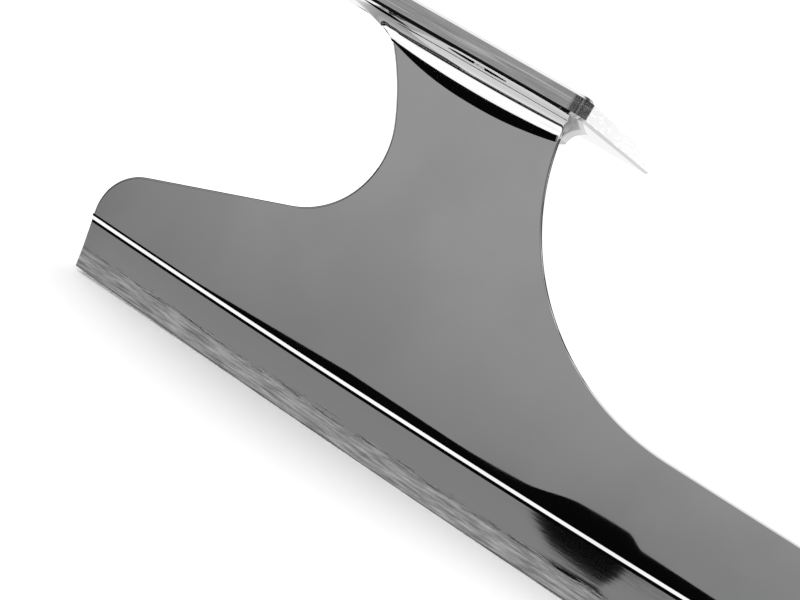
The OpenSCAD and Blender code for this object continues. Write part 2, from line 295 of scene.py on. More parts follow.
def new_group(name, kind, inputs, outputs):
    """An empty node group with named sockets, each given as a name and a kind."""
    tree = bpy.data.node_groups.new(name, kind)
    for label, socket in inputs:
        tree.interface.new_socket(label, in_out="INPUT", socket_type=socket)
    for label, socket in outputs:
        tree.interface.new_socket(label, in_out="OUTPUT", socket_type=socket)
    return tree, put(tree, "NodeGroupInput"), put(tree, "NodeGroupOutput")


# Materials

# Marks per metre: clouds of haze on blade and plates, grain, and streaks along each axis
BLADE_CLOUDS = 70.0
PLATE_CLOUDS = 45.0
GRAINS = 5000.0
HONE_MARKS = 260.0, 3000.0, 1.0
RIM_MARKS = 220.0, 220.0, 3000.0
FILE_MARKS = 120.0, 1500.0, 1500.0
FLOOR_CLOUDS = 6.0
# Scratches against streaks: how many there are along each axis, and the noise that makes one
SCRATCH_MARKS = 0.35, 1.7, 1.7
SCRATCHED = 0.60, 0.72
# Noise that makes the haze, and the noise between the darkest and the brightest streak
HAZED = 0.35, 0.7
HONE_CONTRAST = 0.32, 0.68
RIM_CONTRAST = 0.3, 0.75
# Roughness of each finish at its smoothest and its roughest
POLISHED = 0.005, 0.015
HONED = 0.02, 0.15
BRUSHED = 0.12, 0.3
FILED = 0.02, 0.08
# Height of the relief on each finish
GRAIN_RELIEF = 0.00002 * MM
HONE_RELIEF = 0.01 * MM
RIM_RELIEF = 0.01 * MM
FILE_RELIEF = 0.0004 * MM
# Streaks near the edge: heights where they start to fade and are faintest, how ragged and how faint
STREAKED = 0.7 * MM
FADED = 1.3 * MM
RAGGED = 3.0 * MM
FAINT = 0.02
# Darkest tone of the floor against its own colour
FLOOR_SHADE = 0.985


def streak_group():
    """Shader group: grinding streaks drawn out along the first axis of a scaled coordinate."""
    name = "Grinding streaks"
    if name in bpy.data.node_groups:
        return bpy.data.node_groups[name]
    tree, given, result = new_group(
        name, "ShaderNodeTree",
        [("Vector", "NodeSocketVector"), ("Scale", "NodeSocketVector")],
        [("Streak", "NodeSocketFloat"), ("Scratch", "NodeSocketFloat")])
    scaled = vector_node(tree, "MULTIPLY", given.outputs["Vector"], given.outputs["Scale"])
    fine = put(tree, "ShaderNodeTexNoise", {"Vector": scaled, "Scale": 1.0, "Detail": 3.0, "Roughness": 0.6})
    longer = vector_node(tree, "MULTIPLY", scaled, SCRATCH_MARKS)
    sparse = put(tree, "ShaderNodeTexNoise", {"Vector": longer, "Scale": 1.0, "Detail": 1.0})
    tree.links.new(fine.outputs["Fac"], result.inputs["Streak"])
    tree.links.new(step_up(tree, sparse.outputs["Fac"], *SCRATCHED), result.inputs["Scratch"])
    return tree


def haze_group():
    """Shader group: soft clouds of dullness and a fine grain on polished plating."""
    name = "Polishing haze"
    if name in bpy.data.node_groups:
        return bpy.data.node_groups[name]
    tree, given, result = new_group(
        name, "ShaderNodeTree",
        [("Vector", "NodeSocketVector"), ("Clouds", "NodeSocketFloat"), ("Grains", "NodeSocketFloat")],
        [("Haze", "NodeSocketFloat"), ("Grain", "NodeSocketFloat")])
    place, clouds, grains = (given.outputs[label] for label in ("Vector", "Clouds", "Grains"))
    cloudy = put(tree, "ShaderNodeTexNoise", {"Vector": place, "Scale": clouds, "Detail": 4.0})
    grain = put(tree, "ShaderNodeTexNoise", {"Vector": place, "Scale": grains, "Detail": 2.0})
    tree.links.new(step_up(tree, cloudy.outputs["Fac"], *HAZED), result.inputs["Haze"])
    tree.links.new(grain.outputs["Fac"], result.inputs["Grain"])
    return tree


def metal(name):
    """An empty metal material: its tree and its shader."""
    made = bpy.data.materials.new(name)
    made.use_nodes = True
    shader = made.node_tree.nodes["Principled BSDF"]
    shader.inputs["Metallic"].default_value = 1.0
    return made, made.node_tree, shader


def object_place(tree):
    """The place of a point on its piece."""
    return put(tree, "ShaderNodeTexCoord").outputs["Object"]


def streaks_on(tree, place, marks):
    """The outputs of the streaks on a coordinate, with so many marks per metre along each axis."""
    return put(tree, "ShaderNodeGroup", {"Vector": place, "Scale": marks}, node_tree=streak_group()).outputs


def finish_metal(tree, shader, colour, dullness, roughness, height, relief):
    """Links a metal's colour, its roughness, spread over its dullness, and the relief of its marks."""
    bump = put(tree, "ShaderNodeBump", {"Height": height, "Strength": 1.0, "Distance": relief})
    tree.links.new(colour, shader.inputs["Base Color"])
    tree.links.new(spread(tree, dullness, *roughness), shader.inputs["Roughness"])
    tree.links.new(bump.outputs["Normal"], shader.inputs["Normal"])


def polished_chrome(name, colours, clouds):
    """Mirror plating with faint clouds of polishing haze and a grain too fine to see singly."""
    made, tree, shader = metal(name)
    given = {"Vector": object_place(tree), "Clouds": clouds, "Grains": GRAINS}
    marks = put(tree, "ShaderNodeGroup", given, node_tree=haze_group()).outputs
    colour = blend(tree, marks["Haze"], colours.chrome, colours.chrome_haze)
    finish_metal(tree, shader, colour, marks["Haze"], POLISHED, marks["Grain"], GRAIN_RELIEF)
    return made


def honed_steel(name, colours):
    """Ground runner: streaks along the edge, faint under the ledge and strong near the edge."""
    made, tree, shader = metal(name)
    place = put(tree, "ShaderNodeUVMap", uv_map="runner").outputs["UV"]
    streak = streaks_on(tree, place, HONE_MARKS)["Streak"]
    ragged = math_node(tree, "MULTIPLY_ADD", streak, -RAGGED, parts_of(tree, place)["Y"])
    fade = {"Value": ragged, "From Min": STREAKED, "From Max": FADED, "To Min": 1.0, "To Max": FAINT}
    near_edge = put(tree, "ShaderNodeMapRange", fade, interpolation_type="SMOOTHSTEP").outputs["Result"]
    contrast = stretch(tree, streak, *HONE_CONTRAST)
    streaked = blend(tree, contrast, colours.honed_dark, colours.honed_bright)
    colour = blend(tree, near_edge, colours.honed, streaked)
    height = math_node(tree, "MULTIPLY", streak, near_edge)
    finish_metal(tree, shader, colour, near_edge, HONED, height, HONE_RELIEF)
    return made


def brushed_rim(name, colours):
    """Edge of a plate, brushed round its outline."""
    made, tree, shader = metal(name)
    marks = streaks_on(tree, object_place(tree), RIM_MARKS)
    contrast = stretch(tree, marks["Streak"], *RIM_CONTRAST)
    brushed = blend(tree, contrast, colours.brushed, colours.brushed_bright)
    colour = blend(tree, marks["Scratch"], brushed, colours.scratch)
    finish_metal(tree, shader, colour, marks["Streak"], BRUSHED, marks["Streak"], RIM_RELIEF)
    return made


def brazed_chrome(name, colours):
    """Plating over a hand-finished fillet, with faint file lines along it."""
    made, tree, shader = metal(name)
    marks = streaks_on(tree, object_place(tree), FILE_MARKS)
    colour = blend(tree, marks["Scratch"], colours.chrome, colours.chrome_haze)
    finish_metal(tree, shader, colour, marks["Streak"], FILED, marks["Streak"], FILE_RELIEF)
    return made


def matt_floor(name, colour):
    """Pale matt floor with a barely visible unevenness."""
    made = bpy.data.materials.new(name)
    made.use_nodes = True
    tree = made.node_tree
    shader = tree.nodes["Principled BSDF"]
    shader.inputs["Roughness"].default_value = 1.0
    shader.inputs["Specular IOR Level"].default_value = 0.0
    cloud = put(tree, "ShaderNodeTexNoise", {"Vector": object_place(tree), "Scale": FLOOR_CLOUDS})
    darker = [FLOOR_SHADE * channel for channel in colour]
    tree.links.new(blend(tree, cloud.outputs["Fac"], darker, colour), shader.inputs["Base Color"])
    return made


# Pieces


def arc(centre, radius, start, stop, step=0.6 * MM):
    """Points on a circle from one angle to another, about a step apart."""
    count = max(3, math.ceil(abs(stop - start) * radius / step))
    turns = [start + (stop - start) * i / count for i in range(count + 1)]
    return [centre + radius * Vector((math.cos(a), math.sin(a))) for a in turns]


def tenon(middle, z, tenon_l):
    """Outline of a tenon that stands on a stanchion's top and fills the plate's mortise."""
    rear, front = middle - tenon_l / 2, middle + tenon_l / 2
    return [Vector(p) for p in ((rear, z), (rear, z + PLATE_T), (front, z + PLATE_T), (front, z))]


class BladeShape:
    """The blade's outline and section, in stations and heights, worked out from the settings."""

    # Steps along the blade, round each small radius, down the honed face and across the hollow
    stations = 150
    lip_steps = 6
    hone_steps = 6
    hollow_steps = 10
    # Share of the honed face in a narrow first row, which keeps the shading of the root out of the rest
    hone_start = 0.03
    # Slope of the honed face at the root, against its mean slope down to the flare
    crown_start = 0.43
    # Passes that settle where a line meets the tail's end and the round toe
    passes = 20

    def __init__(self, settings):
        self.runner, self.web = settings.runner, settings.web
        self.tail = tail = settings.tail
        self.toe = toe = settings.toe
        self.nose = Vector((tail.nose_x, tail.nose_z))
        self.tail_end = self.nose + tail.nose_r * Vector((-math.cos(tail.lean), -math.sin(tail.lean)))
        self.toe_centre = Vector((PLATE_FRONT - toe.setback, toe.curve_z))

    def edge(self, x):
        """Height of the edge at a station."""
        runner = self.runner
        return runner.rocker_r - math.sqrt(runner.rocker_r ** 2 - (x - runner.rocker_low) ** 2)

    def below_ledge(self, drop):
        """The line that runs a given drop below the ledge, as a function of the station."""
        runner = self.runner
        radius = runner.rocker_r + drop
        centre_z = runner.ledge_z + runner.rocker_r
        return lambda x: centre_z - math.sqrt(radius ** 2 - (x - runner.ledge_low) ** 2)

    def above_edge(self, rise):
        """The line that runs a given rise above the edge, as a function of the station."""
        runner = self.runner
        radius = runner.rocker_r - rise
        return lambda x: runner.rocker_r - math.sqrt(radius ** 2 - (x - runner.rocker_low) ** 2)

    def tail_x(self, z):
        """Station of the tail's end at a height under the nose's middle."""
        if z < self.tail_end.y:
            return self.tail_end.x + (self.tail_end.y - z) * math.tan(self.tail.lean)
        return self.nose.x - math.sqrt(self.tail.nose_r ** 2 - (z - self.nose.y) ** 2)

    def toe_x(self, z):
        """Station of the round toe at a height."""
        return self.toe_centre.x + math.sqrt(self.toe.curve_r ** 2 - (z - self.toe_centre.y) ** 2)

    def line_points(self, line):
        """Evenly spaced points on a line along the blade, from the tail's end to the round toe."""
        left, right = self.nose.x, self.toe_centre.x
        for _ in range(self.passes):
            left, right = self.tail_x(line(left)), self.toe_x(line(right))
        stations = [left + (right - left) * i / self.stations for i in range(self.stations + 1)]
        return [Vector((x, line(x))) for x in stations]

    def side_lines(self):
        """Lines along the side from the ledge's lip down to the edge, each with its depth under the face."""
        runner = self.runner
        slant = math.atan2(runner.hone_depth, runner.ledge_h)
        lip, root = (r * math.tan(slant / 2) for r in (runner.lip_r, runner.root_r))
        turns = [slant * i / self.lip_steps for i in range(self.lip_steps + 1)]
        lines = [(self.below_ledge(runner.lip_r * math.sin(a) - lip), runner.lip_r * (1 - math.cos(a)))
                 for a in turns]
        lines += [(self.below_ledge(runner.ledge_h + root - runner.root_r * math.sin(a)),
                   runner.hone_depth - runner.root_r * (1 - math.cos(a))) for a in reversed(turns)]
        foot = runner.hone_depth - runner.hone_rise
        flare = math.atan2(foot, runner.flare_z - runner.flare_foot)
        bend = runner.flare_r * math.tan(flare / 2)
        top, bottom = self.below_ledge(runner.ledge_h + root), self.above_edge(runner.flare_z + bend)
        for part in [self.hone_start] + [i / self.hone_steps for i in range(1, self.hone_steps)]:
            crown = part * (self.crown_start + (1 - self.crown_start) * part)
            lines.append((lambda x, part=part: (1 - part) * top(x) + part * bottom(x),
                          runner.hone_depth - runner.hone_rise * crown))
        bends = [flare * i / self.lip_steps for i in range(self.lip_steps + 1)]
        lines += [(self.above_edge(runner.flare_z + bend - runner.flare_r * math.sin(a)),
                   foot - runner.flare_r * (1 - math.cos(a))) for a in bends]
        return lines + [(self.above_edge(runner.flare_foot), 0.0), (self.edge, 0.0)]

    def rear_edge(self):
        """Waist circle, the turn where the curve above it takes over, and that curve's circle."""
        tail = self.tail
        waist = Vector((HEEL_FRONT - tail.waist_l - tail.waist_r, HEEL_Z - tail.waist_drop))
        to_end = Vector((HEEL_FRONT - tail.top_l, HEEL_Z - tail.rear_land)) - waist
        turn = tail.waist_share * (math.atan2(to_end.y, to_end.x) - math.acos(tail.waist_r / to_end.length))
        out = Vector((math.cos(turn), math.sin(turn)))
        rest = to_end - tail.waist_r * out
        upper_r = -rest.length_squared / (2 * rest.dot(out))
        return waist, turn, waist + (tail.waist_r - upper_r) * out, upper_r

    def upper_outline(self, start, stop):
        """Outline above the ledge, from the tail's end over the stanchions to the round toe."""
        tail, web, toe = self.tail, self.web, self.toe
        waist, turn, upper, upper_r = self.rear_edge()
        gap = waist - self.nose
        slope = math.atan2(gap.y, gap.x) - math.asin((tail.nose_r + tail.waist_r) / gap.length)
        heel_rear = HEEL_FRONT - tail.top_l
        from_nose = start - self.nose
        first = math.atan2(from_nose.y, from_nose.x) % math.tau
        points = arc(self.nose, tail.nose_r, min(first, math.pi + tail.lean), math.pi / 2 + slope)
        if first <= math.pi + tail.lean:
            points = points[1:]
        points += arc(waist, tail.waist_r, slope - math.pi / 2, turn)
        points += arc(upper, upper_r, turn, math.acos((heel_rear - upper.x) / upper_r))[1:]
        points.append(Vector((heel_rear, HEEL_Z)))
        points += tenon(HEEL_FRONT - tail.waist_l / 2, HEEL_Z, web.tenon_l)
        points += self.opening(HEEL_FRONT, BALL_REAR, web.arch_z, web.arch_heel_r, web.arch_ball_r, HEEL_Z)
        points += tenon((BALL_REAR + BALL_FRONT) / 2, SOLE_Z, web.tenon_l)
        points += self.opening(BALL_FRONT, TOE_REAR, web.window_z, web.window_r, web.window_r, SOLE_Z)
        points += tenon((TOE_REAR + TOE_FRONT) / 2, SOLE_Z, web.tenon_l)
        points.append(Vector((TOE_FRONT, SOLE_Z)))
        notch = Vector((TOE_FRONT + toe.notch_r, toe.notch_z + toe.notch_r))
        across = notch - self.toe_centre
        along = (toe.curve_r ** 2 - toe.notch_r ** 2 + across.length_squared) / (2 * across.length)
        aside = math.sqrt(toe.curve_r ** 2 - along ** 2)
        forward = across.normalized()
        corner = self.toe_centre + along * forward + aside * Vector((forward.y, -forward.x))
        in_notch, on_toe, end = corner - notch, corner - self.toe_centre, stop - self.toe_centre
        points += arc(notch, toe.notch_r, math.pi, math.atan2(in_notch.y, in_notch.x) % math.tau)
        from_notch, to_ledge = math.atan2(on_toe.y, on_toe.x), math.atan2(end.y, end.x)
        points += arc(self.toe_centre, toe.curve_r, from_notch, to_ledge)[1:-1]
        return points

    @staticmethod
    def opening(rear, front, z, rear_r, front_r, rear_top):
        """An opening between the tops of two stanchions: a level sill with a round corner at each end."""
        hidden = max(0.0, z + rear_r - rear_top)
        points = [] if hidden else [Vector((rear, rear_top))]
        first = math.pi + math.asin(hidden / rear_r)
        points += arc(Vector((rear + rear_r, z + rear_r)), rear_r, first, 1.5 * math.pi)
        points += arc(Vector((front - front_r, z + front_r)), front_r, 1.5 * math.pi, math.tau)
        return points + [Vector((front, SOLE_Z))]

    def pick_outline(self):
        """The ring of picks: a radial working face and a sloping back for each, closed inside the toe."""
        toe = self.toe
        outer, root = toe.curve_r + toe.pick_d, toe.curve_r - toe.pick_d
        turn = [i * toe.pick_pitch - toe.pick_first for i in range(toe.pick_count + 1)]
        points = [Vector((math.cos(turn[0]), math.sin(turn[0]))) * root]
        for here, after in zip(turn, turn[1:]):
            points.append(outer * Vector((math.cos(here), math.sin(here))))
            points.append(toe.curve_r * Vector((math.cos(after), math.sin(after))))
        points += [root * Vector((math.cos(a), math.sin(a))) for a in reversed(turn[1:])]
        return [self.toe_centre + p for p in points]

    def hollow_section(self):
        """Steps across the edge: distance from the middle, and height above the edge."""
        runner = self.runner
        half = HALF - runner.edge_land
        flat = math.sqrt(runner.hollow_r ** 2 - half ** 2)
        across = [half * (2 * i / self.hollow_steps - 1) for i in range(self.hollow_steps + 1)]
        return [(y, math.sqrt(runner.hollow_r ** 2 - y ** 2) - flat) for y in across]


# Material slots: plated faces, and faces that are ground or brushed
PLATED, GROUND = 0, 1


def blade_mesh(shape):
    """The blade without its picks, as one closed mesh."""
    bm = bmesh.new()
    bevel = bm.edges.layers.float.new("bevel_weight_edge")
    lines = [(shape.line_points(line), depth) for line, depth in shape.side_lines()]
    outline = shape.upper_outline(lines[0][0][0], lines[0][0][-1])
    honed_from = 2 * shape.lip_steps + 1
    sides = {}
    for side in (-1, 1):
        rows = [[bm.verts.new((BACK + p.x, side * (HALF - depth), p.y)) for p in points]
                for points, depth in lines]
        upper = [bm.verts.new((BACK + p.x, side * HALF, p.y)) for p in outline]
        bm.faces.new(upper + rows[0][::-1]).material_index = PLATED
        for k, (above, under) in enumerate(zip(rows, rows[1:])):
            for i in range(shape.stations):
                face = bm.faces.new((above[i], above[i + 1], under[i + 1], under[i]))
                face.material_index = GROUND if k >= honed_from else PLATED
        sides[side] = rows, [rows[0][0], *upper, rows[0][-1]]
    near, far = sides[-1], sides[1]
    for i in range(len(near[1]) - 1):
        bm.faces.new((near[1][i], near[1][i + 1], far[1][i + 1], far[1][i]))
    groove = hollow_grid(bm, shape, near[0][-1], far[0][-1])
    for end in (0, -1):
        for k in range(len(lines) - 1):
            ring = [near[0][k][end], far[0][k][end], far[0][k + 1][end], near[0][k + 1][end]]
            if k == len(lines) - 2:
                ring[3:3] = groove[end][::-1]
            bm.faces.new(ring)
    arch_middle = BACK + (HEEL_FRONT + BALL_REAR) / 2
    for rows, path in sides.values():
        for first, second in zip(path, path[1:]):
            top = HEEL_Z if first.co.x < arch_middle else SOLE_Z
            hidden = max(first.co.z, second.co.z) > top - COVERED
            bm.edges.get((first, second))[bevel] = 0.0 if hidden else 1.0
    bmesh.ops.recalc_face_normals(bm, faces=bm.faces)
    runner_map = bm.loops.layers.uv.new("runner")
    for face in bm.faces:
        for loop in face.loops:
            x, _, z = loop.vert.co
            loop[runner_map].uv = x, z - shape.edge(x - BACK)
    return as_object(bm, "chromed_blade")


def hollow_grid(bm, shape, near_edge, far_edge):
    """The hollow between the two edges. Gives the points across it at each station."""
    section = shape.hollow_section()
    grid = [[bm.verts.new((edge.co.x, y, edge.co.z + rise)) for y, rise in section] for edge in near_edge]
    for i in range(len(grid) - 1):
        here, after = ([near_edge[j], *grid[j], far_edge[j]] for j in (i, i + 1))
        for k in range(len(here) - 1):
            bm.faces.new((here[k], here[k + 1], after[k + 1], after[k])).material_index = GROUND
    return grid


def prism(name, outline, thickness):
    """A closed plate of an outline in stations and heights, about the blade's middle plane."""
    bm = bmesh.new()
    half = thickness / 2
    near, far = ([bm.verts.new((BACK + p.x, y, p.y)) for p in outline] for y in (-half, half))
    bm.faces.new(near)
    bm.faces.new(far[::-1])
    for i in range(len(outline)):
        j = (i + 1) % len(outline)
        bm.faces.new((near[i], far[i], far[j], near[j]))
    bmesh.ops.recalc_face_normals(bm, faces=bm.faces)
    return as_object(bm, name)


def as_object(bm, name):
    """Turns a bmesh into an object of the scene."""
    mesh = bpy.data.meshes.new(name)
    bm.to_mesh(mesh)
    bm.free()
    made = bpy.data.objects.new(name, mesh)
    bpy.context.scene.collection.objects.link(made)
    return made


def settle(piece):
    """Turns a piece's modifiers into a plain mesh."""
    graph = bpy.context.evaluated_depsgraph_get()
    done = piece.evaluated_get(graph)
    mesh = bpy.data.meshes.new_from_object(done, preserve_all_data_layers=True, depsgraph=graph)
    piece.modifiers.clear()
    piece.data = mesh


def round_edges(piece, radius, steps=6, material=-1):
    """Rounds the edges that carry a bevel weight."""
    bevel = piece.modifiers.new("Rounding", "BEVEL")
    bevel.limit_method = "WEIGHT"
    bevel.offset_type = "OFFSET"
    bevel.width = radius
    bevel.segments = steps
    bevel.material = material
    bevel.use_clamp_overlap = False
    settle(piece)


def smooth(piece):
    """Shades a piece smooth between its creases, with flat faces kept flat."""
    piece.data.shade_smooth()
    piece.data.set_sharp_from_angle(angle=CREASE)
    weighted = piece.modifiers.new("Flat faces", "WEIGHTED_NORMAL")
    weighted.keep_sharp = True
    weighted.weight = 100
    settle(piece)


def dress(piece, node, slot, *materials):
    """Gives a piece its materials and puts it in the place of its node."""
    slots = piece.data.materials
    for i, made in enumerate(materials):
        if i < len(slots):
            slots[i] = made
        else:
            slots.append(made)
    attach(piece, "root")
    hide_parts(node)


def plate_mesh(node, name):
    """A plate from its node, merged to whole faces, with its outer rims marked for a chamfer."""
    bm = bmesh.new()
    bm.from_mesh(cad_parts[node].data)
    bmesh.ops.remove_doubles(bm, verts=bm.verts, dist=WELD)
    bmesh.ops.dissolve_limit(bm, angle_limit=ONE_FACE, verts=bm.verts, edges=bm.edges)
    bm.normal_update()
    bevel = bm.edges.layers.float.new("bevel_weight_edge")
    for face in bm.faces:
        face.material_index = PLATED
    rearmost = min(bm.verts, key=lambda v: v.co.x)
    wall = {face for face in rearmost.link_faces if abs(face.normal.z) < LEVEL}
    fresh = list(wall)
    while fresh:
        beside = {other for edge in fresh.pop().edges for other in edge.link_faces}
        found = {face for face in beside - wall if abs(face.normal.z) < LEVEL}
        wall |= found
        fresh += found
    for face in wall:
        face.material_index = GROUND
        for edge in face.edges:
            if any(abs(other.normal.z) > LEVEL for other in edge.link_faces):
                edge[bevel] = 1.0
    return as_object(bm, name)


# Fineness of a fillet: points round the stanchion, steps of its section, and steps of its path's corners
FILLET_COLUMNS = 220
FILLET_STEPS = 18
FILLET_CORNER = 16
# Powers by which a fillet steepens towards its ends, and by which the rear flare thins out downwards
STEEPENING = 3.0
THINNING = 3.0
# Reach of the rear flare before the bay trims it, against its length
FLARE_REACH = 1.1
FILLET_SIZES = (
    "Rear", "Front", "Half thickness", "Underside", "End size", "Bow", "Start", "Ends", "Stop", "Lead",
    "Corner", "Trim", "Trim station", "Trim height", "Trim radius", "Flare", "Flare height",
    "Arch", "Arch station", "Arch height", "Arch radius", "Fit",
)


def fillet_tree():
    """Geometry Nodes tree: a concave fillet round a stanchion's top, under its plate."""
    name = "Brazed fillet"
    if name in bpy.data.node_groups:
        return bpy.data.node_groups[name]
    tree, given, result = new_group(
        name, "GeometryNodeTree",
        [("Geometry", "NodeSocketGeometry"), ("Material", "NodeSocketMaterial")]
        + [(size, "NodeSocketFloat") for size in FILLET_SIZES],
        [("Geometry", "NodeSocketGeometry")])
    calc = functools.partial(math_node, tree)
    known = given.outputs
    rear, front, under, end_size = (known[size] for size in ("Rear", "Front", "Underside", "End size"))

    def scaled(vector, factor):
        return put(tree, "ShaderNodeVectorMath", {0: vector, "Scale": factor}, operation="SCALE").outputs[0]

    # Path round the stanchion, and a grid with its columns along the path and its rows along the section
    run = calc("SUBTRACT", front, rear)
    middle = calc("MULTIPLY", calc("ADD", front, rear), 0.5)
    twice = calc("MULTIPLY", end_size, 2.0)
    thickness = calc("MULTIPLY", known["Half thickness"], 2.0)
    path = put(tree, "GeometryNodeCurvePrimitiveQuadrilateral",
               {"Width": calc("ADD", run, twice), "Height": calc("ADD", thickness, twice)})
    rounded = put(tree, "GeometryNodeFilletCurve",
                  {"Curve": path.outputs["Curve"], "Radius": calc("ADD", end_size, known["Corner"]),
                   "Count": FILLET_CORNER}, mode="POLY")
    rows = FILLET_STEPS + 3
    grid = put(tree, "GeometryNodeMeshGrid",
               {"Size X": 1.0, "Size Y": 1.0, "Vertices X": FILLET_COLUMNS, "Vertices Y": rows})
    spot = parts_of(tree, put(tree, "GeometryNodeInputPosition").outputs[0])
    around = calc("ADD", spot["X"], 0.5)
    row = calc("ROUND", calc("MULTIPLY", calc("ADD", spot["Y"], 0.5), rows - 1))
    sample = put(tree, "GeometryNodeSampleCurve",
                 {"Curves": rounded.outputs["Curve"], "Factor": around}, mode="FACTOR").outputs
    outer = sample["Position"]
    across = vector_node(tree, "CROSS_PRODUCT", sample["Tangent"], (0.0, 0.0, 1.0))
    facing = put(tree, "ShaderNodeVectorMath", {0: across, 1: outer}, operation="DOT_PRODUCT")
    outward = scaled(across, calc("SIGN", facing.outputs["Value"]))
    # Radius along the stanchion, and the angle at which the section leaves the blade's face there
    along = calc("DIVIDE", parts_of(tree, outer)["X"], calc("MULTIPLY", run, 0.5))
    aside = calc("SUBTRACT", along, known["Lead"])
    swell = calc("MAXIMUM", calc("SUBTRACT", 1.0, calc("MULTIPLY", aside, aside)), 0.0)
    size = calc("ADD", end_size, calc("MULTIPLY", known["Bow"], swell))
    steeper = calc("POWER", calc("MINIMUM", calc("ABSOLUTE", aside), 1.0), STEEPENING)
    start = calc("MULTIPLY_ADD", known["Ends"], steeper, known["Start"])
    # Section: rows along its arc, one in the corner that it fills, and one back on its first to close it
    closing = calc("GREATER_THAN", row, FILLET_STEPS + 1.5)
    part = calc("MINIMUM", calc("DIVIDE", row, float(FILLET_STEPS)), 1.0)
    part = calc("MULTIPLY", part, calc("SUBTRACT", 1.0, closing))
    sweep = calc("SUBTRACT", math.pi / 2, calc("ADD", start, known["Stop"]))
    turn = calc("ADD", start, calc("MULTIPLY", part, sweep))
    on_arc = calc("SUBTRACT", 1.0, calc("COMPARE", row, FILLET_STEPS + 1.0, 0.25))
    reach = calc("SUBTRACT", calc("COSINE", start), calc("COSINE", turn))
    rearward = calc("MAXIMUM", calc("MULTIPLY", parts_of(tree, outward)["X"], -1.0), 0.0)
    flared = calc("MULTIPLY", known["Flare"], FLARE_REACH)
    wide = calc("MULTIPLY_ADD", calc("MULTIPLY", rearward, known["Trim"]), flared, size)
    out = calc("MULTIPLY", calc("MULTIPLY", wide, reach), on_arc)
    depth = calc("SUBTRACT", calc("COSINE", known["Stop"]), calc("SINE", turn))
    down = calc("MULTIPLY", calc("MULTIPLY", size, depth), on_arc)
    flat = parts_of(tree, vector_node(tree, "ADD", outer, scaled(outward, calc("SUBTRACT", out, end_size))))
    z = calc("SUBTRACT", under, down)

    def half_chord(circle):
        rise = calc("SUBTRACT", z, known[circle + " height"])
        square = calc("SUBTRACT", calc("POWER", known[circle + " radius"], 2.0), calc("MULTIPLY", rise, rise))
        return calc("SQRT", calc("MAXIMUM", square, 0.0))

    # Front: follows the arch over the length of the fit
    x = calc("ADD", flat["X"], middle)
    arch = calc("SUBTRACT", known["Arch station"], half_chord("Arch"))
    forward = calc("ADD", calc("DIVIDE", calc("SUBTRACT", x, front), known["Fit"]), 1.0)
    forward = calc("MINIMUM", calc("MAXIMUM", forward, 0.0), 1.0)
    forward = calc("MULTIPLY", calc("MULTIPLY", calc("SUBTRACT", arch, front), forward), known["Arch"])
    x = calc("ADD", x, forward)
    # Rear: trimmed by the bay behind the stanchion, but for the flare under the plate
    lift = calc("SUBTRACT", 1.0, calc("DIVIDE", calc("SUBTRACT", under, z), known["Flare height"]))
    lift = calc("POWER", calc("MAXIMUM", lift, 0.0), THINNING)
    bay = calc("ADD", known["Trim station"], half_chord("Trim"))
    bay = calc("SUBTRACT", bay, calc("MULTIPLY", lift, known["Flare"]))
    trimmed = calc("MULTIPLY", calc("MAXIMUM", x, bay), known["Trim"])
    x = calc("ADD", trimmed, calc("MULTIPLY", x, calc("SUBTRACT", 1.0, known["Trim"])))
    place = put(tree, "ShaderNodeCombineXYZ", {0: x, 1: flat["Y"], 2: z}).outputs[0]
    shaped = put(tree, "GeometryNodeSetPosition", {"Geometry": grid.outputs["Mesh"], "Position": place})
    closed = put(tree, "GeometryNodeMergeByDistance", {"Geometry": shaped.outputs[0], "Distance": WELD})
    real = put(tree, "GeometryNodeRealizeInstances", {"Geometry": closed.outputs[0]})
    finished = put(tree, "GeometryNodeSetMaterial",
                   {"Geometry": real.outputs[0], "Material": known["Material"]})
    tree.links.new(finished.outputs[0], result.inputs["Geometry"])
    return tree


def fillet(name, rear, front, underside, finish, material, bay=None, arch=None):
    """One brazed fillet as a plain mesh. Bay and arch are circles that it meets: a centre and a radius."""
    piece = bpy.data.objects.new(name, bpy.data.meshes.new(name))
    bpy.context.scene.collection.objects.link(piece)
    maker = piece.modifiers.new("Brazed fillet", "NODES")
    tree = maker.node_group = fillet_tree()
    values = {
        "Rear": BACK + rear, "Front": BACK + front, "Half thickness": HALF, "Underside": underside,
        "End size": finish.braze_end, "Bow": finish.braze_bow, "Lead": finish.braze_lead,
        "Start": finish.braze_start, "Ends": finish.braze_ends, "Stop": finish.braze_stop,
        "Corner": finish.edge_r, "Flare": finish.flare_l, "Flare height": finish.flare_h,
        "Fit": finish.braze_fit, "Trim": 0.0, "Arch": 0.0, "Material": material,
    }
    for label, circle in (("Trim", bay), ("Arch", arch)):
        if circle:
            centre, radius = circle
            values[label] = 1.0
            values[label + " station"] = BACK + centre.x
            values[label + " height"] = centre.y
            values[label + " radius"] = radius
    for item in tree.interface.items_tree:
        if item.in_out == "INPUT" and item.name in values:
            maker[item.identifier] = values[item.name]
    settle(piece)
    bm = bmesh.new()
    bm.from_mesh(piece.data)
    bmesh.ops.recalc_face_normals(bm, faces=bm.faces)
    bm.to_mesh(piece.data)
    bm.free()
    return piece


# Operators


